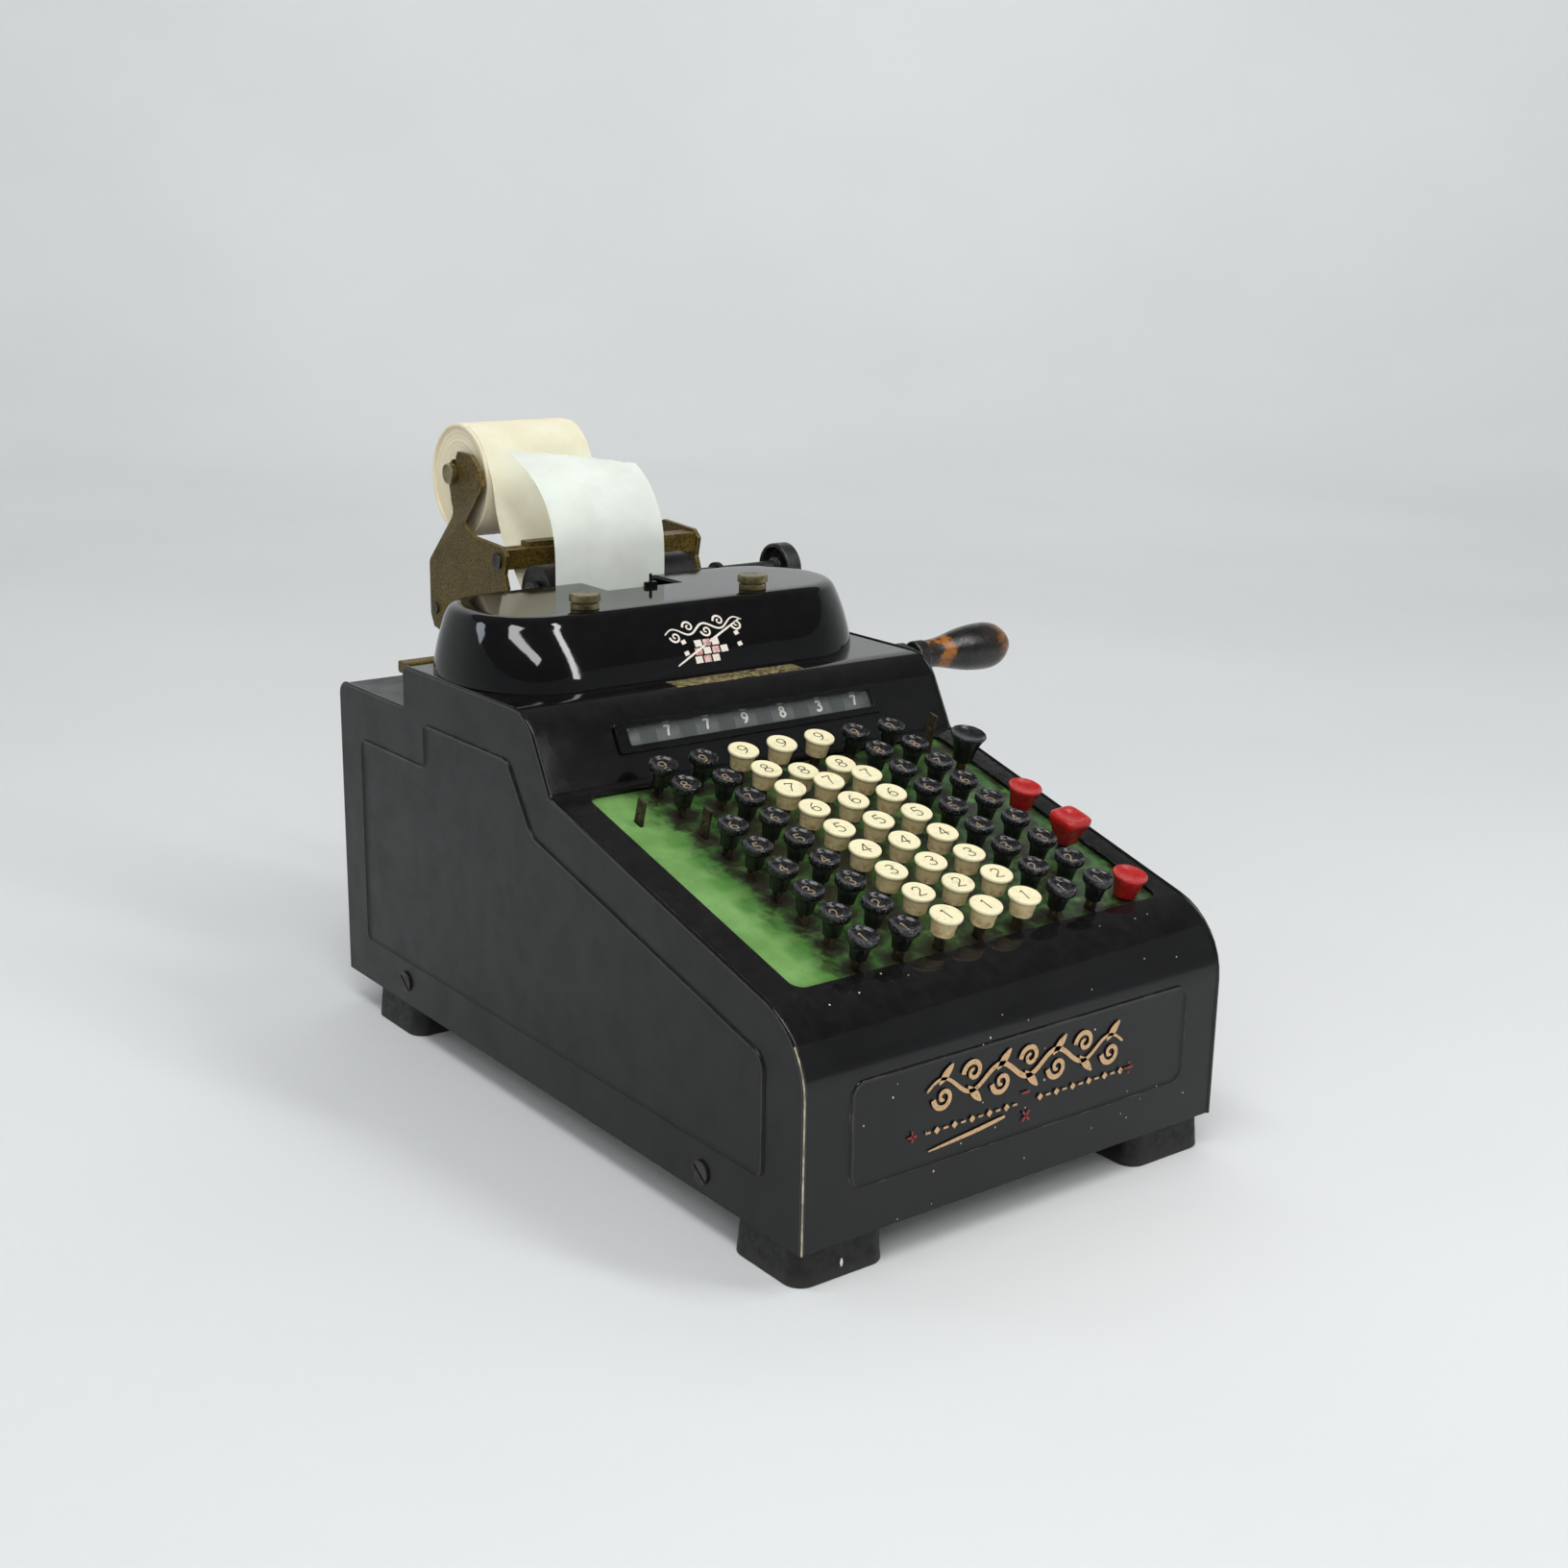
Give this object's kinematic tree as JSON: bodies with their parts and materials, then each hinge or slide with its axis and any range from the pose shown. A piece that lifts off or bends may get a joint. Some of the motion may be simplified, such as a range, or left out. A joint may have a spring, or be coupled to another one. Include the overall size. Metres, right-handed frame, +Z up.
{
  "type": "printing adding machine",
  "caption": "Desk adding machine with a sloping bank of round keys, a side crank, a number window and a paper roll behind.",
  "frame": {"origin": "middle of the bottom of the whole object's box, on the surface it stands on", "axes": "+X to the operator's right, +Y from the front to the back, +Z up"},
  "size_m": [0.2708, 0.3912, 0.2564],
  "materials": {
    "black_enamel": "gloss enamel, worn at the edges",
    "charcoal_enamel": "satin wrinkle-free enamel, dusty",
    "green_enamel": "satin, stained around the stems",
    "bronze_enamel": "fine wrinkle bronze-olive enamel",
    "steel": "dull, oiled",
    "dark_steel": "blackened",
    "brass": "tarnished, knurled",
    "rubber": "matte",
    "key_plastic": "black outer columns, ivory middle columns",
    "ivory_plastic": "yellowed",
    "red_plastic": "worn gloss",
    "glass": "clear",
    "dial": "black dials with white digits",
    "wood": "black lacquer worn to amber wood",
    "paper": "aged tape",
    "platen_rubber": "smooth"
  },
  "bodies": {
    "case": {"side_panel_left": "charcoal_enamel", "side_panel_right": "charcoal_enamel", "case_cover": "black_enamel", "rear_cover": "charcoal_enamel", "base_pan": "dark_steel", "feet": "rubber", "case_screws": "dark_steel", "inner_frames": "steel", "cross_shafts": "steel", "key_plate": "green_enamel", "stem_guide": "steel", "window_bezel": "black_enamel", "window_glass": "glass", "roll_bracket_left": "bronze_enamel", "roll_bracket_right": "bronze_enamel", "cross_bar": "bronze_enamel", "bracket_screws": "dark_steel", "roll_spindle": "steel", "paper_tape": "paper", "platen_brackets": "dark_steel", "carriage_rail": "bronze_enamel"},
    "hood": {"hood": "black_enamel"},
    "thumb_screw_left": {"thumb_screw_left": "brass"},
    "thumb_screw_right": {"thumb_screw_right": "brass"},
    "crank": {"crank_shaft": "steel", "crank_arm": "dark_steel", "grip_spindle": "steel"},
    "grip": {"grip_ferrule": "dark_steel", "grip": "wood"},
    "number_wheels": {"number_wheels": "dial"},
    "type_sectors": {"type_sectors": "steel"},
    "paper_roll": {"paper_roll": "paper"},
    "platen": {"platen": "platen_rubber", "platen_knob": "dark_steel"},
    "row_1": {"caps_row_1": "key_plastic", "stems_row_1": "steel"},
    "row_2": {"caps_row_2": "key_plastic", "stems_row_2": "steel"},
    "row_3": {"caps_row_3": "key_plastic", "stems_row_3": "steel"},
    "row_4": {"caps_row_4": "key_plastic", "stems_row_4": "steel"},
    "row_5": {"caps_row_5": "key_plastic", "stems_row_5": "steel"},
    "row_6": {"caps_row_6": "key_plastic", "stems_row_6": "steel"},
    "row_7": {"caps_row_7": "key_plastic", "stems_row_7": "steel"},
    "row_8": {"caps_row_8": "key_plastic", "stems_row_8": "steel"},
    "row_9": {"caps_row_9": "key_plastic", "stems_row_9": "steel"},
    "latched_keys": {"caps_latched": "ivory_plastic", "stems_latched": "steel"},
    "key_front_red": {"key_front_red": "red_plastic"},
    "key_square_red": {"key_square_red": "red_plastic"},
    "key_back_red": {"key_back_red": "red_plastic"},
    "key_big_black": {"key_big_black": "key_plastic"},
    "stem_zero": {"stem_zero": "steel"},
    "stem_back": {"stem_back": "steel"}
  },
  "joints": [
    {"name": "hood_lift", "type": "slide", "parent": "case", "child": "hood", "axis": [0, 0, 1], "range_m": [0, 0.06]},
    {"name": "thumb_screw_left_turn", "type": "hinge", "parent": "hood", "child": "thumb_screw_left", "pos_m": [-0.0787, 0.02665, 0.1935], "axis": [0, 0, 1], "continuous": true},
    {"name": "thumb_screw_right_turn", "type": "hinge", "parent": "hood", "child": "thumb_screw_right", "pos_m": [0.0063, 0.02665, 0.1935], "axis": [0, 0, 1], "continuous": true},
    {"name": "crank_pull", "type": "hinge", "parent": "case", "child": "crank", "pos_m": [-0.0332, -0.00685, 0.0799], "axis": [1, 0, 0], "range_deg": [0, 80], "stiffness_Nm_per_rad": 0.6, "springref_deg": -22.92},
    {"name": "grip_spin", "type": "hinge", "parent": "crank", "child": "grip", "pos_m": [0.1068, 0.00415, 0.1594], "axis": [1, 0, 0], "continuous": true},
    {"name": "number_wheels_turn", "type": "hinge", "parent": "case", "child": "number_wheels", "pos_m": [-0.0332, -0.01115, 0.1437], "axis": [1, 0, 0], "continuous": true},
    {"name": "type_sectors_swing", "type": "hinge", "parent": "case", "child": "type_sectors", "pos_m": [-0.0332, 0.04015, 0.1419], "axis": [1, 0, 0], "range_deg": [0, 25]},
    {"name": "paper_roll_turn", "type": "hinge", "parent": "case", "child": "paper_roll", "pos_m": [-0.0287, 0.16965, 0.2281], "axis": [1, 0, 0], "continuous": true},
    {"name": "platen_turn", "type": "hinge", "parent": "case", "child": "platen", "pos_m": [-0.0132, 0.09915, 0.1857], "axis": [1, 0, 0], "continuous": true},
    {"name": "row_1_press", "type": "slide", "parent": "case", "child": "row_1", "axis": [0, 0.2642, -0.9645], "range_m": [0, 0.004], "stiffness_N_per_m": 150, "springref_m": -0.004},
    {"name": "row_2_press", "type": "slide", "parent": "case", "child": "row_2", "axis": [0, 0.2642, -0.9645], "range_m": [0, 0.004], "stiffness_N_per_m": 150, "springref_m": -0.004},
    {"name": "row_3_press", "type": "slide", "parent": "case", "child": "row_3", "axis": [0, 0.2642, -0.9645], "range_m": [0, 0.004], "stiffness_N_per_m": 150, "springref_m": -0.004},
    {"name": "row_4_press", "type": "slide", "parent": "case", "child": "row_4", "axis": [0, 0.2642, -0.9645], "range_m": [0, 0.004], "stiffness_N_per_m": 150, "springref_m": -0.004},
    {"name": "row_5_press", "type": "slide", "parent": "case", "child": "row_5", "axis": [0, 0.2642, -0.9645], "range_m": [0, 0.004], "stiffness_N_per_m": 150, "springref_m": -0.004},
    {"name": "row_6_press", "type": "slide", "parent": "case", "child": "row_6", "axis": [0, 0.2642, -0.9645], "range_m": [0, 0.004], "stiffness_N_per_m": 150, "springref_m": -0.004},
    {"name": "row_7_press", "type": "slide", "parent": "case", "child": "row_7", "axis": [0, 0.2642, -0.9645], "range_m": [0, 0.004], "stiffness_N_per_m": 150, "springref_m": -0.004},
    {"name": "row_8_press", "type": "slide", "parent": "case", "child": "row_8", "axis": [0, 0.2642, -0.9645], "range_m": [0, 0.004], "stiffness_N_per_m": 150, "springref_m": -0.004},
    {"name": "row_9_press", "type": "slide", "parent": "case", "child": "row_9", "axis": [0, 0.2642, -0.9645], "range_m": [0, 0.004], "stiffness_N_per_m": 150, "springref_m": -0.004},
    {"name": "latched_keys_release", "type": "slide", "parent": "case", "child": "latched_keys", "axis": [0, -0.2642, 0.9645], "range_m": [0, 0.004]},
    {"name": "key_front_red_release", "type": "slide", "parent": "case", "child": "key_front_red", "axis": [0, -0.2642, 0.9645], "range_m": [0, 0.004]},
    {"name": "key_square_red_press", "type": "slide", "parent": "case", "child": "key_square_red", "axis": [0, 0.2642, -0.9645], "range_m": [0, 0.004], "stiffness_N_per_m": 60, "springref_m": -0.003},
    {"name": "key_back_red_press", "type": "slide", "parent": "case", "child": "key_back_red", "axis": [0, 0.2642, -0.9645], "range_m": [0, 0.004], "stiffness_N_per_m": 60, "springref_m": -0.003},
    {"name": "key_big_black_press", "type": "slide", "parent": "case", "child": "key_big_black", "axis": [0, 0.2642, -0.9645], "range_m": [0, 0.004], "stiffness_N_per_m": 60, "springref_m": -0.003},
    {"name": "stem_zero_press", "type": "slide", "parent": "case", "child": "stem_zero", "axis": [0, 0.2642, -0.9645], "range_m": [0, 0.004], "stiffness_N_per_m": 60, "springref_m": -0.003},
    {"name": "stem_back_press", "type": "slide", "parent": "case", "child": "stem_back", "axis": [0, 0.2642, -0.9645], "range_m": [0, 0.004], "stiffness_N_per_m": 60, "springref_m": -0.003}
  ],
  "couplings": [
    {"joint": "type_sectors_swing", "follows": "crank_pull", "ratio": 0.3125}
  ]
}
